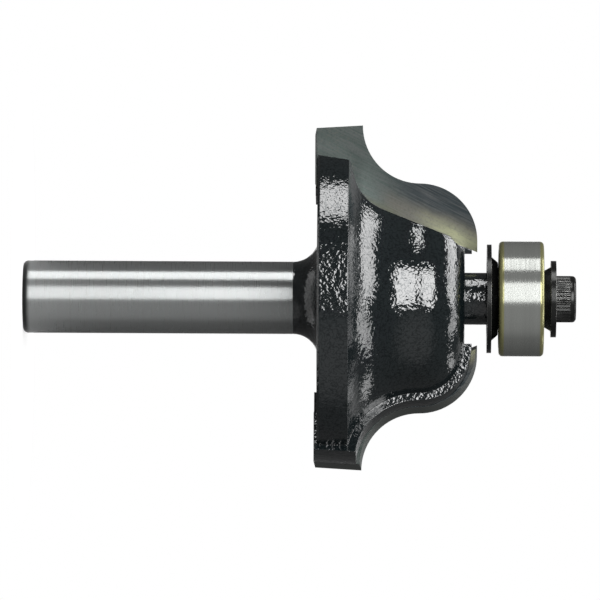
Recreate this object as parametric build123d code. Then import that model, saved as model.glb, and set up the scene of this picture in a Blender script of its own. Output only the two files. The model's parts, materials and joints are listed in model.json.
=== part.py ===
from build123d import *
import os
from math import acos, asin, cos, degrees, radians, sin, sqrt, tan

# Roman ogee router bit, 8 mm shank, with a ball-bearing guide. Millimetres.
#
# The tool stands on the end of its shank: Z runs up the tool axis from the middle of the
# shank's end face to the screw that holds the guide bearing. Wing B lies along +X and cuts
# towards +Y, wing A is the same wing turned half a turn. Seen from the shank, the tool turns
# clockwise.

# ---------------------------------------------------------------- driving dimensions
# Shank and neck
shank_diameter = 8.0
shank_length = 29.8          # ground length, up to the start of the neck fillet
shank_edge = 0.55            # rounding of the shank's end
neck_fillet = 2.75           # fillet from the shank to the back of the disc

# Cutting form: a cove below a bead, both of the same radius
cutter_diameter = 38.1
ogee_radius = 6.35
cove_step = 1.45             # from the disc's front to the back end of the cove
back_taper = 0.3             # radius lost towards the back end of the cutting edge

# Chip-limiting disc and turned core
disc_diameter = 35.2
disc_thickness = 3.4
disc_edge = 0.25             # chamfer of the disc's back rim
core_diameter = 22.6         # where the core's cove runs into its bead
core_cove_radius = 7.9
core_bead_radius = 5.0

# Carbide tips
tip_thickness = 2.0
hook_angle = 10.0            # lean of the rake face, degrees
hook_radius = 12.7           # radius at which the rake face meets the plane through the axis
relief_angle = 18.7          # clearance behind the cutting edge, degrees
front_relief = 5.0           # clearance behind the front end of the edge, degrees
tip_overhang = 0.25          # how far the tip reaches behind the disc
slot_back_radius = 12.2      # inner edge of the tip at its back end
slot_front_radius = 5.14     # inner edge of the tip at its front end

# Wing ribs behind the tips
land_inset = 0.6             # how far the rib's form lies inside the cutting form
wing_overhang = 0.35         # how far the rib reaches behind the disc
wing_depth = 4.5             # distance of the rib's back wall behind the axis plane
wing_bend_radius = 11.3      # radius at which the back wall bends
wing_bend_round = 6.0
wing_angle = 29.0            # lean of the back wall outside the bend, degrees
wing_inner_radius = 4.95     # inner end of the rib in front of the core

# Gullets in front of the tips
gullet_disc_radius = 15.65   # radius left on the disc's rim at the disc's back
gullet_disc_slope = 8.7      # slope of that cut, degrees
gullet_disc_round = 0.35
gullet_wall_start = 0.15     # distance from the disc's front to the wall, at the rim
gullet_wall_slope = 13.8     # lean of the wall that follows the disc's front, degrees
gullet_round = 5.0
gullet_floor = 0.46          # height of the gullet's floor above the tip's inner edge
gullet_length = 11.05        # from the disc's front to where the floor turns down
gullet_end_round = 1.5
gullet_end_drop = 0.15       # where the floor's end leaves the core, past its front face

# Bearing spigot
neck_diameter = 5.75
seat_step = 16.0             # from the disc's front to the inner washer's seat
spigot_fit = 0.005           # radial clearance of the spigot in the bearing's bore
spigot_short = 0.15          # how far the spigot ends below the bearing's top face
thread_diameter = 3.0
thread_fit = 0.02            # radial clearance of the screw's thread in its hole
tap_clearance = 1.2          # depth of the tapped hole beyond the screw's end
drill_point = 118.0          # point angle of the drill, degrees

# Inner washer, a pressed dish that opens towards the core
inner_washer_diameter = 12.0
washer_sheet = 0.5
inner_hub_diameter = 9.3     # dish at the flange
inner_top_diameter = 8.0     # dish at the top
inner_dish_height = 1.3      # from the flange's lower face to the top of the dish
contact_step = 0.08          # raised ring that touches only the bearing's inner ring
contact_diameter = 6.6

# Guide bearing, 3/16 inch bore, 1/2 inch diameter
bearing_diameter = 12.7
bearing_bore = 4.762
bearing_width = 4.978
bearing_edge = 0.45          # rounding of the outer ring
inner_ring_edge = 0.2
ball_diameter = 2.381
ball_pitch_diameter = 8.731
ball_count = 7
ball_play = 0.02             # gap between a ball and each raceway
groove_ratio = 1.04          # raceway radius over ball radius
inner_groove_depth = 0.345   # depth of the raceway in the inner ring
outer_groove_depth = 0.425   # depth of the raceway in the outer ring
cage_sheet = 0.2
cage_width = 0.9             # radial width of the cage's ribbon
cage_play = 0.06             # gap between a ball and its pocket
shield_sheet = 0.2
shield_step = 0.35           # depth of the shield's seat in the outer ring's bore
shield_depth = 0.5           # depth of the shield below the ring's face
shield_fit = 0.04
shield_gap = 0.2             # gap between the shield and the inner ring
shield_ring_width = 0.42     # radial width of the wire ring
shield_ring_thickness = 0.26
shield_ring_bite = 0.14      # how far the wire ring enters its groove
shield_ring_gap = 24.0       # opening of the wire ring, degrees

# Outer washer, a turned dish that opens towards the screw
outer_washer_diameter = 8.45
outer_washer_web = 0.57
outer_washer_height = 1.37
outer_flange = 0.6
outer_boss_diameter = 6.2
outer_hub_diameter = 7.1
outer_washer_fit = 0.1       # radial clearance round the screw's thread
head_fit = 0.06              # radial clearance round the screw's head

# Cap screw
screw_head_diameter = 5.13
screw_head_height = 3.0
screw_head_round = 0.45
screw_length = 8.0
socket_across_flats = 2.5
socket_depth = 1.5
knurl_count = 36
knurl_depth = 0.13
knurl_bottom = 0.35          # plain length of the head below the knurl
knurl_top = 0.65             # plain length of the head above the knurl

# ---------------------------------------------------------------- worked out from the above
shank_r = shank_diameter / 2
cutter_r = cutter_diameter / 2
disc_r = disc_diameter / 2
core_r = core_diameter / 2
neck_r = neck_diameter / 2
disc_back = shank_length + neck_fillet
disc_front = disc_back + disc_thickness
cove_start = disc_front + cove_step                # where the cove leaves the full diameter
core_cove_middle = core_r + core_cove_radius       # centre of the core's cove
core_cove_lead = degrees(acos((core_cove_middle - disc_r) / core_cove_radius))
core_middle = disc_front + core_cove_radius * sin(radians(core_cove_lead))
core_front = core_middle + core_bead_radius
tip_back = disc_back - tip_overhang
wing_back = disc_back - wing_overhang
gullet_end = disc_front + gullet_length
shoulder = disc_front + seat_step                  # face that carries the inner washer
ogee_middle = cove_start + ogee_radius             # where the cove meets the bead
tip_front = cove_start + 2 * ogee_radius
slot_slope = (slot_back_radius - slot_front_radius) / (tip_front - tip_back)

bearing_bottom = shoulder + washer_sheet
bearing_middle = bearing_bottom + bearing_width / 2
bearing_top = bearing_bottom + bearing_width
spigot_r = bearing_bore / 2 - spigot_fit
spigot_top = bearing_top - spigot_short
screw_seat = bearing_top + outer_washer_web
screw_end = screw_seat - screw_length
pitch_r = ball_pitch_diameter / 2
ball_r = ball_diameter / 2
groove_r = ball_r * groove_ratio
inner_race_r = pitch_r - ball_r - ball_play
outer_race_r = pitch_r + ball_r + ball_play
inner_land_r = inner_race_r + inner_groove_depth
outer_land_r = outer_race_r - outer_groove_depth
shield_seat_r = outer_land_r + shield_step

FAR = 3 * cutter_diameter    # reach of a cutting block, past the whole tool


# ---------------------------------------------------------------- drawing helpers
def face_of(*edges):
    """Closed face from edges drawn as (radius, height)."""
    return Plane.XZ * make_face(Curve() + list(edges))


def turned(*edges):
    """Solid of revolution from edges drawn as (radius, height)."""
    return revolve(face_of(*edges), Axis.Z)


def ring(inner, outer, low, high):
    """Plain ring between two radii and two heights."""
    return turned(Polyline((inner, low), (outer, low), (outer, high), (inner, high), close=True))


def bar_of(outline):
    """Bar that carries an outline right through the tool, across the wing."""
    return extrude(outline, FAR, both=True)


def slot_radius(height):
    """Radius of the tip's inner edge at a height."""
    return slot_front_radius + slot_slope * (tip_front - height)


def half_turn(shape):
    """Wing A's copy of a shape of wing B."""
    return Rot(0, 0, 180) * shape


# ---------------------------------------------------------------- cutting form
def ogee_edges(inset, back, inner):
    """Cutting form drawn inside by an inset, from its back end round to its inner end."""
    cove_r = ogee_radius + inset
    bead_r = ogee_radius - inset
    lead_in = degrees(asin(inset / cove_r))
    cove = CenterArc((cutter_r, ogee_middle), cove_r, 270 - lead_in, lead_in - 90)
    bead = CenterArc((cutter_r - 2 * ogee_radius, ogee_middle), bead_r, 0, 90)
    rim = Line((cutter_r - inset - back_taper, back), cove @ 0)
    front = Line(bead @ 1, (inner, ogee_middle + bead_r))
    return [rim, cove, bead, front]


def rake_plane():
    """Plane of wing B's rake face. Its normal points back into the wing, its Y up the tool."""
    lean = radians(hook_angle)
    return Plane(
        origin=(hook_radius, 0, 0),
        x_dir=(cos(lean), sin(lean), 0),
        z_dir=(sin(lean), -cos(lean), 0),
    )


def tip_slot():
    """Slot of wing B that holds the tip: flat sides, and a straight bottom square to them."""

    def on_rake(radius, height):
        return ((radius - hook_radius) / cos(radians(hook_angle)), height)

    low, high = tip_back - tip_thickness, tip_front + tip_thickness
    outline = Polyline(
        on_rake(slot_radius(low), low),
        on_rake(slot_radius(high), high),
        on_rake(FAR, high),
        on_rake(FAR, low),
        close=True,
    )
    return extrude(rake_plane() * make_face(outline), tip_thickness)


def carbide_tip():
    """Wing B's tip: the cutting form, relieved behind its edge and cut to fill its slot."""
    edges = ogee_edges(0, tip_back, 0)
    closing = Polyline(edges[-1] @ 1, (0, tip_back), edges[0] @ 0)
    rake_face = section(bar_of(face_of(*edges, closing)), section_by=rake_plane())
    inward = tan(radians(hook_angle + relief_angle))
    plane = rake_plane()
    relief = plane.z_dir - plane.x_dir * inward - Vector(0, 0, tan(radians(front_relief)))
    blank = extrude(rake_face, amount=2 * tip_thickness, dir=relief)
    return blank & tip_slot()


# ---------------------------------------------------------------- cutter body
def turned_body():
    """Shank, neck, disc, core and bearing spigot, turned from one bar."""
    start = Line((0, 0), (shank_r - shank_edge, 0))
    end_round = JernArc(start @ 1, (1, 0), shank_edge, 90)
    shank = Line(end_round @ 1, (shank_r, shank_length))
    neck = JernArc(shank @ 1, (0, 1), neck_fillet, -90)
    disc = Polyline(
        neck @ 1,
        (disc_r - disc_edge, disc_back),
        (disc_r, disc_back + disc_edge),
        (disc_r, disc_front),
    )
    cove = CenterArc(
        (core_cove_middle, core_middle), core_cove_radius, 180 + core_cove_lead, -core_cove_lead
    )
    bead = CenterArc((core_r - core_bead_radius, core_middle), core_bead_radius, 0, 90)
    front = Polyline(
        bead @ 1,
        (neck_r, core_front),
        (neck_r, shoulder),
        (spigot_r, shoulder),
        (spigot_r, spigot_top),
        (0, spigot_top),
        (0, 0),
    )
    return turned(start, end_round, shank, neck, disc, cove, bead, front)


def wing_rib():
    """Wing B's rib: the cutting form turned smaller, cut to a thick slab behind the tip."""
    edges = ogee_edges(land_inset, wing_back, neck_r)
    inside = Polyline(
        edges[-1] @ 1,
        (neck_r, disc_front),
        (core_r, disc_front),
        (core_r, wing_back),
        edges[0] @ 0,
    )
    form = turned(*edges, inside)

    def rake_depth(x):
        return (x - hook_radius) * tan(radians(hook_angle))

    def wall_depth(x):
        return -wing_depth - (x - wing_bend_radius) * tan(radians(wing_angle))

    wall = FilletPolyline(
        (wing_inner_radius, -wing_depth),
        (wing_bend_radius, -wing_depth),
        (FAR, wall_depth(FAR)),
        radius=wing_bend_round,
    )
    front = Polyline(
        wall @ 1,
        (FAR, rake_depth(FAR)),
        (wing_inner_radius, rake_depth(wing_inner_radius)),
        wall @ 0,
    )
    slab = make_face([wall, front])
    return form & extrude(slab, FAR)


def gullet():
    """Space milled in front of wing B's tip, through the disc's rim and the core."""
    lip = tan(radians(gullet_disc_slope))
    lean = tan(radians(gullet_wall_slope))
    lip_z = disc_front + gullet_wall_start
    lip_r = gullet_disc_radius - (lip_z - disc_back) * lip
    foot_r = (slot_radius(lip_z + lean * lip_r) + gullet_floor) / (1 - slot_slope * lean)
    foot_z = lip_z + lean * (lip_r - foot_r)
    outline = FilletPolyline(
        (gullet_disc_radius + disc_back * lip, 0),
        (lip_r, lip_z),
        (foot_r, foot_z),
        (slot_radius(gullet_end) + gullet_floor, gullet_end),
        (wing_inner_radius, core_front + gullet_end_drop),
        (wing_inner_radius, FAR),
        radius=[gullet_disc_round, gullet_round, gullet_end_round, 0],
    )
    outside = Polyline(outline @ 1, (FAR, FAR), (FAR, 0), outline @ 0)
    return split(bar_of(face_of(outline, outside)), bisect_by=rake_plane(), keep=Keep.BOTTOM)


def tapped_hole():
    """Blind hole up the spigot for the cap screw, with the drill's point at its bottom."""
    radius = thread_diameter / 2 + thread_fit
    bottom = screw_end - tap_clearance
    point = radius / tan(radians(drill_point / 2))
    return turned(
        Polyline((0, bottom - point), (radius, bottom), (radius, FAR), (0, FAR), close=True)
    )


def cutter_body():
    """The whole steel body with both wings, gullets and slots."""
    body = turned_body() + wing_rib() + half_turn(wing_rib())
    for cut in (gullet(), tip_slot()):
        body = body - cut - half_turn(cut)
    return body - tapped_hole()


# ---------------------------------------------------------------- washers and screw
def inner_washer():
    """Large dished washer: flange towards the core, dish up against the inner ring."""
    low = shoulder + washer_sheet - inner_dish_height
    face = bearing_bottom - contact_step
    hub_r, top_r = inner_hub_diameter / 2, inner_top_diameter / 2
    flange_top = low + washer_sheet
    wall_r = hub_r - washer_sheet
    return turned(
        Polyline(
            (spigot_r + spigot_fit, shoulder),
            (top_r - washer_sheet, shoulder),
            (wall_r, low),
            (inner_washer_diameter / 2, low),
            (inner_washer_diameter / 2, flange_top),
            (hub_r, flange_top),
            (top_r, face),
            (contact_diameter / 2, face),
            (contact_diameter / 2, bearing_bottom),
            (spigot_r + spigot_fit, bearing_bottom),
            close=True,
        )
    )


def outer_washer():
    """Small turned washer: boss down on the inner ring, recess up round the screw's head."""
    hole_r = thread_diameter / 2 + outer_washer_fit
    recess_r = screw_head_diameter / 2 + head_fit
    rim_top = bearing_top + outer_washer_height
    rim_low = rim_top - outer_flange
    return turned(
        Polyline(
            (hole_r, bearing_top),
            (outer_boss_diameter / 2, bearing_top),
            (outer_hub_diameter / 2, rim_low),
            (outer_washer_diameter / 2, rim_low),
            (outer_washer_diameter / 2, rim_top),
            (recess_r, rim_top),
            (recess_r, screw_seat),
            (hole_r, screw_seat),
            close=True,
        )
    )


def cap_screw():
    """Socket head screw: straight-knurled head, hexagon socket, plain shank for its thread."""
    head_r = screw_head_diameter / 2
    head_top = screw_seat + screw_head_height
    side = Line((head_r, screw_seat), (head_r, head_top - screw_head_round))
    corner = JernArc(side @ 1, (0, 1), screw_head_round, 90)
    rest = Polyline(
        corner @ 1,
        (0, head_top),
        (0, screw_end),
        (thread_diameter / 2, screw_end),
        (thread_diameter / 2, screw_seat),
        side @ 0,
    )
    screw = turned(side, corner, rest)
    step = 180 / knurl_count
    teeth = [
        Vector(head_r - knurl_depth * (turn % 2), 0).rotate(Axis.Z, turn * step)
        for turn in range(2 * knurl_count)
    ]
    knurl_low = screw_seat + knurl_bottom
    knurl_length = screw_head_height - knurl_bottom - knurl_top
    blank = Circle(head_r + knurl_depth) - make_face(Polyline(*teeth, close=True))
    screw -= Pos(0, 0, knurl_low) * extrude(blank, knurl_length)
    hexagon = RegularPolygon(socket_across_flats / 2, 6, major_radius=False)
    return screw - Pos(0, 0, head_top - socket_depth) * extrude(hexagon, socket_depth)


# ---------------------------------------------------------------- guide bearing
def other_end(shape):
    """Mirror image of a piece at the bearing's other end."""
    return mirror(shape, Plane.XY.offset(bearing_middle))


def raceway(bottom_r, side):
    """Groove for the balls: a torus that touches a radius from one side."""
    return Pos(0, 0, bearing_middle) * Torus(bottom_r + side * groove_r, groove_r)


def bearing_inner_ring():
    """Ring that is clamped between the two washers."""
    body = ring(bearing_bore / 2, inner_land_r, bearing_bottom, bearing_top)
    ends = body.edges().filter_by(GeomType.CIRCLE)
    body = chamfer(ends, inner_ring_edge)
    return body - raceway(inner_race_r, 1)


def bearing_outer_ring():
    """Ring that rolls along the work, with a seat and a groove for a shield at each end."""
    body = ring(outer_land_r, bearing_diameter / 2, bearing_bottom, bearing_top)
    rims = body.edges().filter_by(GeomType.CIRCLE)
    body = fillet([rim for rim in rims if rim.radius > outer_race_r], bearing_edge)
    body -= raceway(outer_race_r, -1)
    groove_low = bearing_top - shield_depth
    groove_top = groove_low + shield_ring_thickness + shield_fit
    seat = ring(inner_land_r, shield_seat_r, groove_low - shield_sheet, bearing_top)
    groove = ring(inner_land_r, shield_seat_r + shield_ring_bite, groove_low, groove_top)
    return body - seat - groove - other_end(seat) - other_end(groove)


def bearing_ball(index):
    """One ball of the row."""
    return Rot(0, 0, index * 360 / ball_count) * Pos(pitch_r, 0, bearing_middle) * Sphere(ball_r)


def cage_half():
    """Upper half of the pressed cage: a flat ribbon that bulges over each ball."""
    inner, outer = pitch_r - cage_width / 2, pitch_r + cage_width / 2
    pocket_r = ball_r + cage_play
    top = bearing_middle + pocket_r + cage_sheet
    ribbon = ring(inner, outer, bearing_middle, bearing_middle + cage_sheet)
    band = ring(inner, outer, bearing_middle, top)
    for index in range(ball_count):
        turn = Rot(0, 0, index * 360 / ball_count) * Pos(pitch_r, 0, bearing_middle)
        ribbon += band & (turn * Sphere(pocket_r + cage_sheet))
    for index in range(ball_count):
        turn = Rot(0, 0, index * 360 / ball_count) * Pos(pitch_r, 0, bearing_middle)
        ribbon -= turn * Sphere(pocket_r)
    return ribbon


def bearing_shield():
    """Upper shield: a thin steel ring that closes the gap between the two rings."""
    low = bearing_top - shield_depth - shield_sheet
    return ring(
        inner_land_r + shield_gap,
        shield_seat_r - shield_fit,
        low,
        low + shield_sheet,
    )


def shield_ring():
    """Upper wire ring, open at one place, that snaps in its groove over the shield."""
    outer = shield_seat_r + shield_ring_bite - shield_fit
    low = bearing_top - shield_depth
    wire = ring(outer - shield_ring_width, outer, low, low + shield_ring_thickness)
    half = radians(shield_ring_gap / 2)
    opening = Polyline((0, 0), (FAR, -FAR * tan(half)), (FAR, FAR * tan(half)), close=True)
    return wire - extrude(make_face(opening), FAR)


# ---------------------------------------------------------------- the sub-parts
parts = {
    "cutter_body": cutter_body(),
    "carbide_tip_b": carbide_tip(),
    "carbide_tip_a": half_turn(carbide_tip()),
    "inner_washer": inner_washer(),
    "outer_washer": outer_washer(),
    "cap_screw": cap_screw(),
    "bearing_inner_ring": bearing_inner_ring(),
    "bearing_outer_ring": bearing_outer_ring(),
    "bearing_cage_upper": cage_half(),
    "bearing_cage_lower": other_end(cage_half()),
    "bearing_shield_upper": bearing_shield(),
    "bearing_shield_lower": other_end(bearing_shield()),
    "shield_ring_upper": shield_ring(),
    "shield_ring_lower": other_end(shield_ring()),
}
for index in range(ball_count):
    parts[f"bearing_ball_{index + 1}"] = bearing_ball(index)

os.makedirs("parts", exist_ok=True)
for name, shape in parts.items():
    shape.label = name
    export_step(shape, f"parts/{name}.step")
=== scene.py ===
"""Looks of a Roman ogee router bit: finishes, studio, floor and camera around the CAD frame.

The tool stands upright on the end of its shank, Z up the tool axis. Sizes are in metres.
"""

from __future__ import annotations

import json
import logging
import math
from dataclasses import dataclass
from enum import Enum

import bpy
from mathutils import Matrix, Vector

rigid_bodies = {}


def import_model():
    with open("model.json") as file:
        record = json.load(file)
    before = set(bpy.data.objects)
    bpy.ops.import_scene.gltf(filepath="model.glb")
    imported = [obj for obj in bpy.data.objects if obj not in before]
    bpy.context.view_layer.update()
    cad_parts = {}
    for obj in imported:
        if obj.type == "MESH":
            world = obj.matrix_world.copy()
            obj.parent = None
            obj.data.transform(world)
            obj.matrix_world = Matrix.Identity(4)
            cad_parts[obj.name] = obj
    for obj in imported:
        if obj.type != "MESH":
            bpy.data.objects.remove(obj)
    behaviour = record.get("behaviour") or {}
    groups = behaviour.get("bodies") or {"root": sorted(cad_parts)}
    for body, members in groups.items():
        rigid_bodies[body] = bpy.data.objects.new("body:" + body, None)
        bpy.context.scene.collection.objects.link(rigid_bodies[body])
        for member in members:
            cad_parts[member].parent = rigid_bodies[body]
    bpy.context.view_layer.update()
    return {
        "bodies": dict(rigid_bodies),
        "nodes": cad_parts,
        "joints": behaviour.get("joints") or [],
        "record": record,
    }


log = logging.getLogger("router_bit")

MM = 0.001
IMAGE_SIZE = 600
NOISE_RANGE = (0.3, 0.7)               # most values of a noise lie between these
CRISP = 0.6                            # roughness of the noises that draw fine detail

Colour = tuple[float, float, float, float]


class Socket(Enum):
    """Kinds of socket that a node group has."""

    FLOAT = "NodeSocketFloat"
    VECTOR = "NodeSocketVector"


class Graph:
    """A node tree with short calls to add and join its nodes."""

    def __init__(self, tree: bpy.types.NodeTree) -> None:
        """Keeps the node tree of a material, a world or a group."""
        self.tree = tree

    def add(self, kind: str, **settings: object) -> bpy.types.Node:
        """Adds a node.

        Args:
            kind: Blender's name for the kind of node.
            **settings: Properties of the node, by name.

        Returns:
            The new node.
        """
        node = self.tree.nodes.new(kind)
        for name, value in settings.items():
            setattr(node, name, value)
        return node

    def put(self, node: bpy.types.Node, socket: str | int, value: object) -> None:
        """Feeds a socket from another socket, or gives it a plain value.

        Args:
            node: The node whose input is set.
            socket: The input's name or number.
            value: An output socket, or a number, tuple or colour.
        """
        if isinstance(value, bpy.types.NodeSocket):
            self.tree.links.new(value, node.inputs[socket])
        else:
            node.inputs[socket].default_value = value

    def math(self, operation: str, *values: object, clamp: bool = False) -> bpy.types.NodeSocket:
        """Adds a Math node.

        Args:
            operation: Blender's name for the operation.
            *values: Its inputs, in order.
            clamp: Whether the result is held between 0 and 1.

        Returns:
            The result's socket.
        """
        node = self.add("ShaderNodeMath", operation=operation, use_clamp=clamp)
        for index, value in enumerate(values):
            self.put(node, index, value)
        return node.outputs[0]

    def inverse(self, share: object) -> bpy.types.NodeSocket:
        """Takes a share away from 1."""
        return self.math("SUBTRACT", 1.0, share)

    def ramp(self, value: object, low: float, high: float, start: float = 0.0, end: float = 1.0,
             smooth: bool = False) -> bpy.types.NodeSocket:
        """Turns a value into another range, held at both ends.

        Args:
            value: The value's socket.
            low: The value that gives start.
            high: The value that gives end.
            start: Result at low.
            end: Result at high.
            smooth: Whether the change eases in and out.

        Returns:
            The result's socket.
        """
        kind = "SMOOTHSTEP" if smooth else "LINEAR"
        node = self.add("ShaderNodeMapRange", interpolation_type=kind)
        for index, item in enumerate((value, low, high, start, end)):
            self.put(node, index, item)
        return node.outputs[0]

    def mix(self, share: object, first: object, second: object) -> bpy.types.NodeSocket:
        """Mixes two colours.

        Args:
            share: Share of the second colour.
            first: The first colour.
            second: The second colour.

        Returns:
            The mixed colour's socket.
        """
        node = self.add("ShaderNodeMix", data_type="RGBA")
        self.put(node, 0, share)
        self.put(node, 6, first)
        self.put(node, 7, second)
        return node.outputs[2]

    def vector(self, operation: str, *values: object) -> bpy.types.NodeSocket:
        """Adds a Vector Math node and returns its first output.

        Args:
            operation: Blender's name for the operation.
            *values: Its inputs, in order.

        Returns:
            The result's socket.
        """
        node = self.add("ShaderNodeVectorMath", operation=operation)
        for index, value in enumerate(values):
            self.put(node, index, value)
        scalar = operation in ("DOT_PRODUCT", "LENGTH", "DISTANCE")
        return node.outputs[1 if scalar else 0]

    def place(self) -> bpy.types.NodeSocket:
        """Adds the object coordinates, in metres from the frame's origin."""
        return self.add("ShaderNodeTexCoord").outputs["Object"]

    def split(self, vector: object) -> tuple[bpy.types.NodeSocket, ...]:
        """Splits a vector into its X, Y and Z.

        Args:
            vector: The vector's socket.

        Returns:
            The three sockets.
        """
        node = self.add("ShaderNodeSeparateXYZ")
        self.put(node, 0, vector)
        return tuple(node.outputs[axis] for axis in "XYZ")

    def join(self, *values: object) -> bpy.types.NodeSocket:
        """Joins up to three values into a vector.

        Args:
            *values: X, Y and Z.

        Returns:
            The vector's socket.
        """
        node = self.add("ShaderNodeCombineXYZ")
        for index, value in enumerate(values):
            self.put(node, index, value)
        return node.outputs[0]

    def from_axis(self, place: object) -> bpy.types.NodeSocket:
        """Turns object coordinates into the distance from the tool axis."""
        return self.vector("LENGTH", self.vector("MULTIPLY", place, (1.0, 1.0, 0.0)))

    def background_rays(self) -> tuple[bpy.types.NodeSocket, bpy.types.NodeSocket]:
        """Finds the rays that show the background.

        Returns:
            A mask of the camera's rays, and one of those off mirrors or through glass.
        """
        path = self.add("ShaderNodeLightPath")
        mirrored = self.math("MAXIMUM", path.outputs["Is Glossy Ray"],
                             path.outputs["Is Transmission Ray"])
        return path.outputs["Is Camera Ray"], mirrored

    def noise(self, place: object, scale: float, detail: float = 2.0,
              roughness: float = 0.5) -> bpy.types.NodeSocket:
        """Adds a noise texture.

        Args:
            place: The coordinates that it is drawn on.
            scale: Waves per unit of those coordinates.
            detail: Number of finer layers.
            roughness: Strength of the finer layers.

        Returns:
            The noise value's socket.
        """
        node = self.add("ShaderNodeTexNoise")
        self.put(node, "Vector", place)
        self.put(node, "Scale", scale)
        self.put(node, "Detail", detail)
        self.put(node, "Roughness", roughness)
        return node.outputs["Fac"]


def grey(level: float) -> Colour:
    """A linear grey with an alpha of 1."""
    return (level, level, level, 1.0)


# ------------------------------------------------------------------ studio
@dataclass(frozen=True)
class Camera:
    """A long lens that looks along +Y, with the tool lying from left to right."""

    distance: float = 900 * MM
    scale: float = 9.055 / MM          # pixels per metre at the axis
    pitch: float = 0.73                # how far the bearing end turns to the camera, degrees
    roll: float = 0.29                 # slope of the tool's axis in the image, degrees
    centre: tuple[float, float, float] = (0.236 * MM, 0.0, 30.54 * MM)
    sensor: float = 36.0

    def build(self) -> None:
        """Makes the camera and gives it to the scene."""
        pitch, roll = math.radians(self.pitch), math.radians(self.roll)
        look = Vector((0, math.cos(pitch), -math.sin(pitch)))
        along = Vector((0, math.sin(pitch), math.cos(pitch)))
        up = Vector((-1, 0, 0))
        right = along * math.cos(roll) + up * math.sin(roll)
        top = up * math.cos(roll) - along * math.sin(roll)
        data = bpy.data.cameras.new("camera")
        data.sensor_width = self.sensor
        data.lens = self.sensor * self.distance * self.scale / IMAGE_SIZE
        data.clip_start, data.clip_end = 0.1, 20.0
        camera = bpy.data.objects.new("camera", data)
        turn = Matrix((right, top, -look)).transposed().to_4x4()
        camera.matrix_world = Matrix.Translation(Vector(self.centre) - look * self.distance) @ turn
        bpy.context.scene.collection.objects.link(camera)
        bpy.context.scene.camera = camera


@dataclass(frozen=True)
class SoftBox:
    """A rectangular studio light that faces the cutting head.

    Angles are seen from the cutting head: lift turns from the camera's side towards wing A,
    and lean turns from there towards the bearing end.
    """

    name: str
    lift: float
    lean: float
    wide: float                        # angle that it fills across the tool, degrees
    long: float                        # angle that it fills along the tool, degrees
    radiance: float
    turn: float = 0.0                  # how far it is turned in its own plane, degrees
    distance: float = 0.6
    target: tuple[float, float, float] = (0.0, 0.0, 40 * MM)

    def build(self) -> None:
        """Makes the light."""
        lift, lean = math.radians(self.lift), math.radians(self.lean)
        away = Vector((-math.sin(lift) * math.cos(lean), -math.cos(lift) * math.cos(lean),
                       math.sin(lean)))
        along = Vector((math.sin(lift) * math.sin(lean), math.cos(lift) * math.sin(lean),
                        math.cos(lean)))
        across = along.cross(away)
        data = bpy.data.lights.new(self.name, "AREA")
        data.shape = "RECTANGLE"
        data.size = 2 * self.distance * math.tan(math.radians(self.wide / 2))
        data.size_y = 2 * self.distance * math.tan(math.radians(self.long / 2))
        data.energy = self.radiance * math.pi * data.size * data.size_y
        light = bpy.data.objects.new(self.name, data)
        facing = Matrix((across, along, away)).transposed().to_4x4()
        rolled = Matrix.Rotation(math.radians(self.turn), 4, "Z")
        place = Vector(self.target) + away * self.distance
        light.matrix_world = Matrix.Translation(place) @ facing @ rolled
        bpy.context.scene.collection.objects.link(light)


@dataclass(frozen=True)
class Glow:
    """A smooth pale patch of the room, round one direction from the tool."""

    towards: tuple[float, float, float]
    inner: float                       # angle at which it starts to fade, degrees
    outer: float                       # angle at which it has faded, degrees
    radiance: float

    def add_to(self, graph: Graph, place: bpy.types.NodeSocket) -> bpy.types.NodeSocket:
        """Adds the patch to the world's nodes.

        Args:
            graph: The world's graph.
            place: The direction's socket.

        Returns:
            The patch's radiance in that direction.
        """
        towards = tuple(Vector(self.towards).normalized())
        near = graph.vector("DOT_PRODUCT", place, towards)
        low, high = math.cos(math.radians(self.outer)), math.cos(math.radians(self.inner))
        return graph.ramp(near, low, high, 0.0, self.radiance, smooth=True)


@dataclass(frozen=True)
class Studio:
    """Soft boxes, a grey room and a white background."""

    ambient: float = 0.09
    backdrop: tuple[float, float] = (0.97, 0.995)  # cosine to +Y where the backdrop fades in

    def build(self) -> None:
        """Makes the lights and the world."""
        boxes = (
            SoftBox("top_box", 74, 0, 29, 13, 4.9),
            SoftBox("front_box", 13.5, 21.5, 39, 35, 6.3),
            SoftBox("bearing_end_box", 113.6, 69, 26, 50, 4.0, turn=-19),
            SoftBox("bearing_end_fill", 230, 73, 30, 16, 2.2),
            SoftBox("far_fill", 226, 45, 20, 8, 1.6, turn=-31),
        )
        for box in boxes:
            box.build()
        glows = (
            Glow((0.0, 0.82, 0.57), 8, 26, 0.25),
            Glow((0.70, -0.70, 0.0), 10, 45, 0.16),
        )
        world = bpy.data.worlds.new("studio")
        bpy.context.scene.world = world
        world.use_nodes = True
        world.node_tree.nodes.clear()
        graph = Graph(world.node_tree)
        seen, mirrored = graph.background_rays()
        place = graph.add("ShaderNodeTexCoord").outputs["Generated"]
        room = self.ambient
        for glow in glows:
            room = graph.math("ADD", room, glow.add_to(graph, place))
        towards = graph.vector("DOT_PRODUCT", place, (0.0, 1.0, 0.0))
        behind = graph.ramp(towards, *self.backdrop, smooth=True)
        white = graph.math("MAXIMUM", seen, graph.math("MULTIPLY", mirrored, behind))
        shader = graph.add("ShaderNodeBackground")
        graph.put(shader, "Color", grey(1.0))
        grey_part = graph.math("MULTIPLY", room, graph.inverse(white))
        graph.put(shader, "Strength", graph.math("ADD", grey_part, white))
        output = graph.add("ShaderNodeOutputWorld")
        graph.put(output, "Surface", shader.outputs[0])


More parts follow.
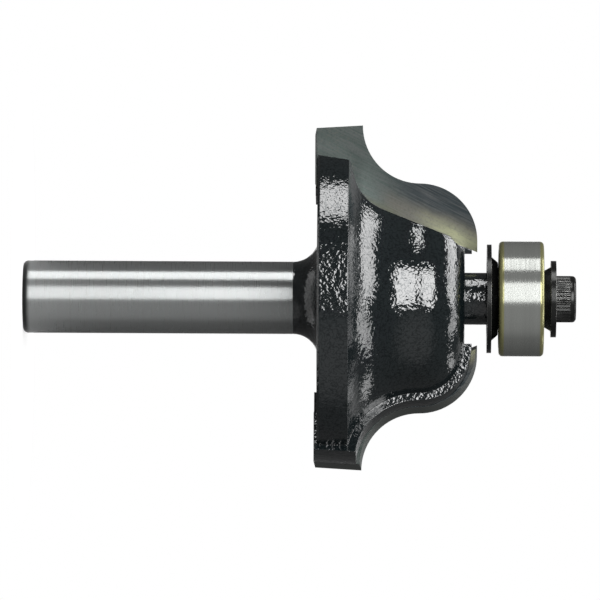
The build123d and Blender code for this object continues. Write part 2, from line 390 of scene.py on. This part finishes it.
@dataclass(frozen=True)
class Floor:
    """A plain pale disc of floor under the shank's end."""

    radius: float = 25 * MM
    corners: int = 96
    colour: float = 0.75
    mottling: float = 1.04             # how much lighter its pale patches are
    patches: float = 60.0              # patches per metre
    lifted: float = 0.65               # light of the white background on it, for the camera
    mirrored: float = 0.05             # the same, for mirrors and glass

    def build(self) -> None:
        """Makes the floor and its material."""
        bpy.ops.object.select_all(action="DESELECT")
        bpy.ops.mesh.primitive_circle_add(vertices=self.corners, radius=self.radius,
                                          fill_type="NGON")
        floor = bpy.context.object
        floor.name = "floor"
        material = bpy.data.materials.new("pale_floor")
        material.use_nodes = True
        material.node_tree.nodes.clear()
        graph = Graph(material.node_tree)
        diffuse = graph.add("ShaderNodeBsdfDiffuse")
        graph.put(diffuse, "Color", graph.mix(
            graph.noise(graph.place(), self.patches), grey(self.colour),
            grey(self.colour * self.mottling)))
        seen, mirrored = graph.background_rays()
        glow = graph.add("ShaderNodeEmission")
        graph.put(glow, "Strength", graph.math(
            "ADD", graph.math("MULTIPLY", seen, self.lifted),
            graph.math("MULTIPLY", mirrored, self.mirrored)))
        both = graph.add("ShaderNodeAddShader")
        graph.put(both, 0, diffuse.outputs[0])
        graph.put(both, 1, glow.outputs[0])
        output = graph.add("ShaderNodeOutputMaterial")
        graph.put(output, "Surface", both.outputs[0])
        floor.data.materials.append(material)


# ------------------------------------------------------------------ finishes
class Groups:
    """Shader node groups that several finishes share."""

    @staticmethod
    def make(name: str, inputs: dict[str, tuple[Socket, object]],
             outputs: dict[str, Socket]) -> tuple[bpy.types.NodeTree, Graph, object, object]:
        """Starts a node group.

        Args:
            name: The group's name.
            inputs: Socket kind and default by input name.
            outputs: Socket kind by output name.

        Returns:
            The group, its graph, its input node and its output node.
        """
        tree = bpy.data.node_groups.new(name, "ShaderNodeTree")
        for label, (kind, default) in inputs.items():
            socket = tree.interface.new_socket(label, in_out="INPUT", socket_type=kind.value)
            socket.default_value = default
        for label, kind in outputs.items():
            tree.interface.new_socket(label, in_out="OUTPUT", socket_type=kind.value)
        graph = Graph(tree)
        return tree, graph, graph.add("NodeGroupInput"), graph.add("NodeGroupOutput")

    @classmethod
    def orange_peel(cls) -> bpy.types.NodeTree:
        """Small rounded waves of a thick lacquer.

        Returns:
            The group, with a Height from 0 to about 1 and a Crease mask of its valleys.
        """
        tree, graph, given, result = cls.make(
            "orange_peel",
            {"Wave": (Socket.FLOAT, 0.35 * MM)},
            {"Height": Socket.FLOAT, "Crease": Socket.FLOAT})
        wave_part, crease_part, crease_width = 0.8, 0.6, 0.07
        scaled = graph.add("ShaderNodeVectorMath", operation="SCALE")
        graph.put(scaled, 0, graph.place())
        graph.put(scaled, "Scale", graph.math("DIVIDE", 1.0, given.outputs["Wave"]))
        waves = graph.noise(scaled.outputs[0], 0.8, detail=1.0, roughness=0.45)
        folds = graph.noise(scaled.outputs[0], 1.1, detail=1.0)
        crease = graph.math("ABSOLUTE", graph.math("SUBTRACT", folds, 0.5))
        graph.put(result, "Height", graph.math(
            "ADD", graph.math("MULTIPLY", waves, wave_part),
            graph.math("MULTIPLY", crease, crease_part)))
        graph.put(result, "Crease", graph.ramp(crease, 0.0, crease_width, 1.0, 0.0))
        return tree

    @classmethod
    def grinding(cls) -> bpy.types.NodeTree:
        """Fine grooves that a grinding wheel leaves round the tool axis.

        Returns:
            The group, with a Height and a Shade from 0 to 1.
        """
        tree, graph, given, result = cls.make(
            "grinding",
            {"Spacing": (Socket.FLOAT, 0.05 * MM), "Around": (Socket.FLOAT, 2.0)},
            {"Height": Socket.FLOAT, "Shade": Socket.FLOAT})
        grooves, bands = 1.0, 0.12     # waves per spacing
        place = graph.place()
        x, y, z = graph.split(place)
        spacing = given.outputs["Spacing"]
        wound = graph.join(
            graph.math("DIVIDE", graph.from_axis(place), spacing),
            graph.math("MULTIPLY", graph.math("ARCTAN2", y, x), given.outputs["Around"]),
            graph.math("DIVIDE", z, spacing))
        graph.put(result, "Height", graph.noise(wound, grooves, roughness=CRISP))
        graph.put(result, "Shade", graph.noise(wound, bands, roughness=CRISP))
        return tree

    @classmethod
    def rim(cls) -> bpy.types.NodeTree:
        """Sharp edges, found by how far a rounded normal leaves the true one.

        Returns:
            The group, with a Mask from 0 to 1 and the rounded Normal.
        """
        tree, graph, given, result = cls.make(
            "rim", {"Radius": (Socket.FLOAT, 0.12 * MM), "Gain": (Socket.FLOAT, 4.0)},
            {"Mask": Socket.FLOAT, "Normal": Socket.VECTOR})
        bevel = graph.add("ShaderNodeBevel", samples=6)
        graph.put(bevel, "Radius", given.outputs["Radius"])
        normal = graph.add("ShaderNodeNewGeometry").outputs["Normal"]
        apart = graph.inverse(graph.vector("DOT_PRODUCT", bevel.outputs[0], normal))
        graph.put(result, "Mask", graph.math("MULTIPLY", apart, given.outputs["Gain"], clamp=True))
        graph.put(result, "Normal", bevel.outputs[0])
        return tree


class Finish:
    """A material for CAD nodes."""

    name = "finish"
    crosswise = 0.25                   # turn that lays the sheen across the grooves

    def shader(self) -> tuple[bpy.types.Material, Graph, bpy.types.Node]:
        """Starts the material with one Principled shader.

        Returns:
            The material, its graph and the Principled node.
        """
        material = bpy.data.materials.new(self.name)
        material.use_nodes = True
        material.node_tree.nodes.clear()
        graph = Graph(material.node_tree)
        surface = graph.add("ShaderNodeBsdfPrincipled")
        output = graph.add("ShaderNodeOutputMaterial")
        graph.put(output, "Surface", surface.outputs[0])
        return material, graph, surface

    def brush(self, graph: Graph, surface: bpy.types.Node, amount: float) -> None:
        """Spreads the highlights across grooves that run round the tool axis.

        Args:
            graph: The material's graph.
            surface: The Principled node.
            amount: Its anisotropy, from 0 to 1.
        """
        tangent = graph.add("ShaderNodeTangent", direction_type="RADIAL", axis="Z")
        graph.put(surface, "Tangent", tangent.outputs[0])
        graph.put(surface, "Anisotropic", amount)
        graph.put(surface, "Anisotropic Rotation", self.crosswise)

    @staticmethod
    def group(graph: Graph, name: str, **values: object) -> bpy.types.Node:
        """Places a shared node group.

        Args:
            graph: The material's graph.
            name: The group's name.
            **values: Its inputs, by name.

        Returns:
            The group's node.
        """
        node = graph.add("ShaderNodeGroup", node_tree=bpy.data.node_groups[name])
        for label, value in values.items():
            graph.put(node, label, value)
        return node

    @staticmethod
    def bump(graph: Graph, height: object, depth: float, before: object = None) -> object:
        """Adds a bump.

        Args:
            graph: The material's graph.
            height: The height's socket, from 0 to 1.
            depth: Depth of the full height in metres.
            before: A normal that the bump starts from.

        Returns:
            The new normal's socket.
        """
        node = graph.add("ShaderNodeBump")
        graph.put(node, "Strength", 1.0)
        graph.put(node, "Distance", depth)
        graph.put(node, "Height", height)
        if before is not None:
            graph.put(node, "Normal", before)
        return node.outputs[0]


@dataclass(frozen=True)
class CoatedSteel(Finish):
    """Ground bright shank with a painted shade on its end, and glossy black lacquer on the head
    with painted shade in its valleys.
    """

    name: str = "coated_steel"
    coat_start: float = 29.77 * MM     # height of the lacquer's lower border
    coat_fade: float = 0.03 * MM
    coat_colour: Colour = (0.008, 0.0125, 0.014, 1)
    coat_rough: float = 0.06
    coat_index: float = 2.0            # refractive index
    peel: float = 0.45 * MM            # length of the orange peel's waves
    peel_depth: float = 0.06 * MM
    painted_valley_shade: float = 0.5                # share of the shine that is taken from its valleys as painted shade
    steel_colour: Colour = (0.47, 0.50, 0.495, 1)
    steel_shade: Colour = grey(0.46)
    steel_metallic: float = 0.84
    steel_rough: tuple[float, float] = (0.27, 0.30)
    groove: float = 0.045 * MM         # spacing of the grinding grooves
    groove_depth: float = 0.0002 * MM
    around: float = 1.2                # waves along a groove per radian
    brushed: float = 0.8               # how far they spread the highlights
    end: tuple[float, float] = (0.3 * MM, 0.9 * MM)  # heights where the painted shade on the shank's end fades out
    # painted shade: the dark colour of the shank's end
    painted_end_shade: Colour = (0.03, 0.032, 0.032, 1)
    edge_radius: float = 0.15 * MM

    def build(self) -> bpy.types.Material:
        """Makes the material.

        Returns:
            The material.
        """
        material, graph, surface = self.shader()
        height = graph.split(graph.place())[2]
        lacquer = graph.ramp(height, self.coat_start, self.coat_start + self.coat_fade)
        bare = graph.inverse(lacquer)
        peel = self.group(graph, "orange_peel", Wave=self.peel)
        ground = self.group(graph, "grinding", Spacing=self.groove, Around=self.around)
        steel = graph.mix(ground.outputs["Shade"], self.steel_shade, self.steel_colour)
        # painted shade on the shank's end, fading out up the tool
        steel = graph.mix(graph.ramp(height, *self.end, 1.0, 0.0, smooth=True), steel,
                          self.painted_end_shade)
        graph.put(surface, "Base Color", graph.mix(lacquer, steel, self.coat_colour))
        # painted shade: the lacquer's valleys are darkened by turning them into black metal, which
        # sends back almost no light
        painted_valley_shade = graph.math("MULTIPLY", peel.outputs["Crease"],
                            graph.math("MULTIPLY", lacquer, self.painted_valley_shade))
        graph.put(surface, "Metallic", graph.math(
            "ADD", graph.math("MULTIPLY", bare, self.steel_metallic), painted_valley_shade))
        rough = graph.ramp(ground.outputs["Height"], *NOISE_RANGE, *self.steel_rough)
        graph.put(surface, "Roughness", graph.math(
            "ADD", graph.math("MULTIPLY", rough, bare),
            graph.math("MULTIPLY", lacquer, self.coat_rough)))
        graph.put(surface, "IOR", self.coat_index)
        self.brush(graph, surface, self.brushed)
        edge = self.group(graph, "rim", Radius=self.edge_radius)
        peeled = self.bump(graph, graph.math("MULTIPLY", peel.outputs["Height"], lacquer),
                           self.peel_depth, edge.outputs["Normal"])
        graph.put(surface, "Normal", self.bump(
            graph, graph.math("MULTIPLY", ground.outputs["Height"], bare), self.groove_depth,
            peeled))
        return material


@dataclass(frozen=True)
class GroundSteel(Finish):
    """Bright steel with fine grooves round the axis, and a painted yellow reflection on two edges
    when ends are given.
    """

    name: str = "ground_steel"
    colour: Colour = (0.36, 0.37, 0.35, 1)
    shade: float = 0.8                 # brightness of the darker bands
    metallic: float = 1.0
    rough: tuple[float, float] = (0.2, 0.3)
    groove: float = 0.06 * MM
    groove_depth: float = 0.0005 * MM
    around: float = 0.8
    brushed: float = 0.85
    ends: tuple[float, float] | None = None  # heights of two edges that get a painted yellow reflection
    # painted reflection: yellow-olive colour of the light on the bearing's two edges
    painted_edge_reflection: Colour = (0.40, 0.39, 0.19, 1)
    edge_reflection_fade: float = 0.12 * MM
    edge_radius: float = 0.08 * MM

    def build(self) -> bpy.types.Material:
        """Makes the material.

        Returns:
            The material.
        """
        material, graph, surface = self.shader()
        ground = self.group(graph, "grinding", Spacing=self.groove, Around=self.around)
        dark = tuple(value * self.shade for value in self.colour[:3]) + (1.0,)
        colour = graph.mix(ground.outputs["Shade"], dark, self.colour)
        if self.ends is not None:
            height = graph.split(graph.place())[2]
            low, high = self.ends
            # painted reflection on the two edges
            edge_reflection_mask = graph.math(
                "MAXIMUM", graph.ramp(height, low, low + self.edge_reflection_fade, 1.0, 0.0),
                graph.ramp(height, high - self.edge_reflection_fade, high))
            colour = graph.mix(edge_reflection_mask, colour, self.painted_edge_reflection)
        graph.put(surface, "Base Color", colour)
        graph.put(surface, "Metallic", self.metallic)
        graph.put(surface, "Roughness",
                  graph.ramp(ground.outputs["Height"], *NOISE_RANGE, *self.rough))
        self.brush(graph, surface, self.brushed)
        edge = self.group(graph, "rim", Radius=self.edge_radius)
        graph.put(surface, "Normal", self.bump(graph, ground.outputs["Height"],
                                               self.groove_depth, edge.outputs["Normal"]))
        return material


@dataclass(frozen=True)
class Tint:
    """A tint along a tip's inner edge, which the carbide uses for a warm tint, a painted
    reflection and a painted highlight.
    """

    colour: Colour
    reach: tuple[float, float]         # distances from the edge where it is gone and full
    heights: tuple[float, float]       # heights where it is gone and full
    wavy: bool = True                  # whether its border wanders

    def mask(self, graph: Graph, apart: object, height: object) -> bpy.types.NodeSocket:
        """Adds a mask of the tint, from the distance to the edge and the height."""
        return graph.math("MULTIPLY", graph.ramp(apart, *self.reach, smooth=True),
                          graph.ramp(height, *self.heights, smooth=True))


@dataclass(frozen=True)
class Carbide(Finish):
    """Satin ground carbide: wheel marks, a painted shade up the tool, and tints along its inner
    edge that hold a painted reflection and a painted highlight.
    """

    name: str = "carbide"
    inner_radius: float = 5.14 * MM    # the inner edge's radius at the tip's front end
    front: float = 50.1 * MM           # height of that end
    slope: float = 0.401               # how fast the radius grows below it
    plain: Colour = (0.108, 0.136, 0.126, 1)
    # painted shade: the carbide darkens to this grey up the tool, between two heights
    dark: Colour = (0.05, 0.064, 0.07, 1)
    painted_shade_heights: tuple[float, float] = (38.5 * MM, 43.5 * MM)
    warm: Colour = (0.14, 0.138, 0.118, 1)
    flecks: tuple[float, ...] = (0.56, 0.66, 0.0, 0.5)  # warm specks: range, then strength
    flecks_fade: tuple[float, float] = (38 * MM, 35.5 * MM)
    # painted reflection: a straw-yellow reflection of the light along the inner edge, at the tip's
    # front
    painted_straw_reflection: Colour = (0.34, 0.35, 0.225, 1)
    # painted highlight: a thin yellowish highlight along the inner edge, low on the tip
    painted_olive_highlight: Colour = (0.12, 0.13, 0.09, 1)
    wander: float = 0.35 * MM          # how far a wavy tint's border wanders
    clouds: float = 320.0              # waves per metre along that border
    flank: Colour = (0.20, 0.215, 0.205, 1)
    flank_turn: tuple[float, float] = (0.8, 0.6)        # normal's Y from the face to the flank
    metallic: float = 0.8
    rough: tuple[float, float] = (0.38, 0.5)
    specks: float = 4200.0             # specks per metre
    speck_depth: float = 0.002 * MM
    pits: tuple[float, ...] = (0.5, 0.3, 0.0, 0.25)     # dark specks: range, then strength
    pit_colour: Colour = grey(0.05)
    marks: float = 5200.0              # wheel marks per metre across them
    mark_ends: float = 260.0           # wheel marks per metre along them
    mark_slope: float = 0.10           # how much more they slope than the inner edge
    mark_depth: float = 0.0015 * MM
    bright: tuple[float, ...] = (0.4, 0.72, 0.0, 0.45)  # bright marks: range, then strength
    mark_colour: Colour = grey(0.2)

    def tints(self) -> tuple[Tint, ...]:
        """Lists the tints along the inner edge in the order in which they are laid on: a warm
        tint, a painted straw reflection and a painted olive highlight.
        """
        return (
            Tint(self.warm, (3.6 * MM, 1.6 * MM), (38.5 * MM, 41 * MM)),
            # painted reflection, in straw
            Tint(self.painted_straw_reflection, (2.6 * MM, 0.9 * MM), (42 * MM, 46.5 * MM)),
            # painted highlight, in olive
            Tint(self.painted_olive_highlight, (1.6 * MM, 0.3 * MM), (43 * MM, 40 * MM), wavy=False),
        )

    def build(self) -> bpy.types.Material:
        """Makes the material.

        Returns:
            The material.
        """
        material, graph, surface = self.shader()
        place = graph.place()
        height = graph.split(place)[2]
        edge = graph.math("ADD", self.inner_radius, graph.math(
            "MULTIPLY", graph.math("SUBTRACT", self.front, height), self.slope))
        apart = graph.math("SUBTRACT", graph.from_axis(place), edge)
        lines = self.wheel_marks(graph, apart, height)
        speckle = graph.noise(place, self.specks, roughness=CRISP)
        colour = self.tinted(graph, place, apart, height, speckle)
        colour = graph.mix(graph.ramp(lines, *self.bright), colour, self.mark_colour)
        colour = graph.mix(graph.ramp(speckle, *self.pits), colour, self.pit_colour)
        normal = graph.add("ShaderNodeTexCoord").outputs["Normal"]
        facing = graph.math("ABSOLUTE", graph.split(normal)[1])
        colour = graph.mix(graph.ramp(facing, *self.flank_turn), colour, self.flank)
        graph.put(surface, "Base Color", colour)
        graph.put(surface, "Metallic", self.metallic)
        graph.put(surface, "Roughness", graph.ramp(lines, *NOISE_RANGE, *self.rough))
        marked = self.bump(graph, lines, self.mark_depth)
        graph.put(surface, "Normal", self.bump(graph, speckle, self.speck_depth, marked))
        return material

    def tinted(self, graph: Graph, place: object, apart: object, height: object,
               speckle: object) -> bpy.types.NodeSocket:
        """Mixes the grey of the carbide, its painted shade up the tool, its warm flecks and the
        tints along its inner edge, which hold a painted reflection and a painted highlight.

        Args:
            graph: The material's graph.
            place: Object coordinates.
            apart: Distance from the inner edge, in metres.
            height: Height in metres.
            speckle: The noise that places the flecks.

        Returns:
            The colour's socket.
        """
        shift = graph.ramp(graph.noise(place, self.clouds), *NOISE_RANGE, -self.wander,
                           self.wander)
        wavy = graph.math("ADD", apart, shift)
        # painted shade: darker up the tool
        colour = graph.mix(graph.ramp(height, *self.painted_shade_heights, smooth=True), self.plain, self.dark)
        flecks = graph.math("MULTIPLY", graph.ramp(speckle, *self.flecks),
                            graph.ramp(height, *self.flecks_fade))
        colour = graph.mix(flecks, colour, self.warm)
        for tint in self.tints():
            mask = tint.mask(graph, wavy if tint.wavy else apart, height)
            colour = graph.mix(mask, colour, tint.colour)
        return colour

    def wheel_marks(self, graph: Graph, apart: object, height: object) -> bpy.types.NodeSocket:
        """Fine lines that run along the inner edge and slope a little more than it.

        Args:
            graph: The material's graph.
            apart: Distance from the inner edge, in metres.
            height: Height in metres.

        Returns:
            The lines' value from 0 to 1.
        """
        across = graph.math("ADD", apart, graph.math("MULTIPLY", height, self.mark_slope))
        stretched = graph.join(graph.math("MULTIPLY", across, self.marks),
                               graph.math("MULTIPLY", height, self.mark_ends))
        return graph.noise(stretched, 1.0, roughness=CRISP)


@dataclass(frozen=True)
class BlackOxide(Finish):
    """Blackened steel with a low sheen, and pale metal on its sharp edges that is partly wear and
    partly a painted highlight.
    """

    name: str = "black_oxide"
    colour: Colour = (0.04, 0.041, 0.04, 1)
    # pale edge colour: partly bare metal from wear, partly a painted highlight
    bare: Colour = (0.6, 0.6, 0.58, 1)
    metallic: float = 0.8
    rough: tuple[float, float] = (0.18, 0.3)
    grains: float = 9000.0             # grains per metre
    grain_depth: float = 0.002 * MM
    clouds: float = 900.0              # patches of wear and painted highlight per metre
    wear_and_highlight: tuple[float, float] = (0.35, 0.6)  # range of the patches, from black to the pale edge colour
    edge_radius: float = 0.1 * MM
    edge_gain: float = 6.0             # how quickly an edge turns pale

    def build(self) -> bpy.types.Material:
        """Makes the material.

        Returns:
            The material.
        """
        material, graph, surface = self.shader()
        place = graph.place()
        grain = graph.noise(place, self.grains, detail=3.0, roughness=CRISP)
        cloud = graph.noise(place, self.clouds)
        edge = self.group(graph, "rim", Radius=self.edge_radius, Gain=self.edge_gain)
        # pale sharp edges: partly wear, partly painted highlight
        wear_and_highlight = graph.math("MULTIPLY", edge.outputs["Mask"], graph.ramp(cloud, *self.wear_and_highlight))
        graph.put(surface, "Base Color", graph.mix(wear_and_highlight, self.colour, self.bare))
        graph.put(surface, "Metallic", self.metallic)
        graph.put(surface, "Roughness", graph.ramp(cloud, *NOISE_RANGE, *self.rough))
        graph.put(surface, "Normal", self.bump(graph, grain, self.grain_depth,
                                               edge.outputs["Normal"]))
        return material


class RouterBit:
    """The CAD nodes with their finishes."""

    finishes: tuple[Finish, ...] = (
        CoatedSteel(),
        Carbide(),
        BlackOxide("black_washer"),
        BlackOxide("black_screw"),
        GroundSteel("bearing_steel", colour=(0.45, 0.463, 0.44, 1), metallic=0.66,
                    ends=(52.95 * MM, 57.05 * MM)),
        GroundSteel("pressed_steel", rough=(0.3, 0.4), groove=0.2 * MM),
        GroundSteel("spring_wire", rough=(0.25, 0.35), groove=0.2 * MM),
        GroundSteel("ball_steel", rough=(0.05, 0.08), groove=0.5 * MM),
    )

    def __init__(self, frame: dict[str, object]) -> None:
        self.nodes = frame["nodes"]

    def dress(self) -> None:
        """Gives each CAD node its finish, by the slot's name that it came with."""
        made = {finish.name: finish.build() for finish in self.finishes}
        for name, node in sorted(self.nodes.items()):
            for slot in node.material_slots:
                slot.material = made[slot.material.name.split(".")[0]]
            log.info("dressed %s", name)


def main() -> None:
    """Builds the scene in order."""
    logging.basicConfig(level=logging.INFO, format="%(name)s: %(message)s")
    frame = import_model()
    bpy.context.scene.view_settings.view_transform = "Standard"
    Camera().build()
    Studio().build()
    Floor().build()
    Groups.orange_peel()
    Groups.grinding()
    Groups.rim()
    RouterBit(frame).dress()


if __name__ == "__main__":
    main()
